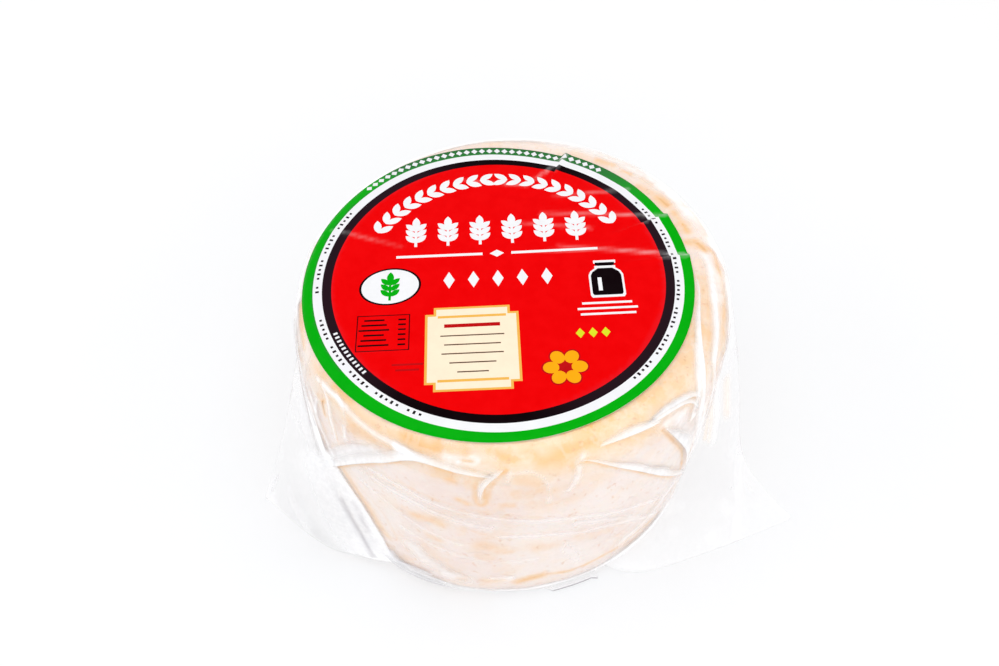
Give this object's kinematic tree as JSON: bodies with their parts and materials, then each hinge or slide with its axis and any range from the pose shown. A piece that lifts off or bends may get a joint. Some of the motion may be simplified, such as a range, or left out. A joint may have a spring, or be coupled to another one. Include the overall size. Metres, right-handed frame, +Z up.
{
  "type": "lard-coated sheep cheese",
  "caption": "Whole wheel of aged sheep cheese coated in lard, vacuum packed in a clear creased bag with loose corner ears, and a round printed label on top",
  "frame": {"origin": "Middle of the wheel's flat base, on the surface that the cheese stands on", "axes": "+Z up through the wheel; the front of the cheese looks along -Y; +X is to the right of someone who looks at the front, where the top is slightly higher"},
  "size_m": [0.2456, 0.2045, 0.1141],
  "materials": {
    "lard_rind": "ivory lard over a tan rind, mottled and slightly greasy, seen through clear film",
    "clear_film": "clear glossy vacuum film, milky where it is doubled or folded",
    "printed_label": "glossy film label printed in flat colours, with fine creases at its rim"
  },
  "bodies": {
    "root": {"bagged_wheel": "lard_rind", "round_label": "printed_label"}
  },
  "joints": []
}
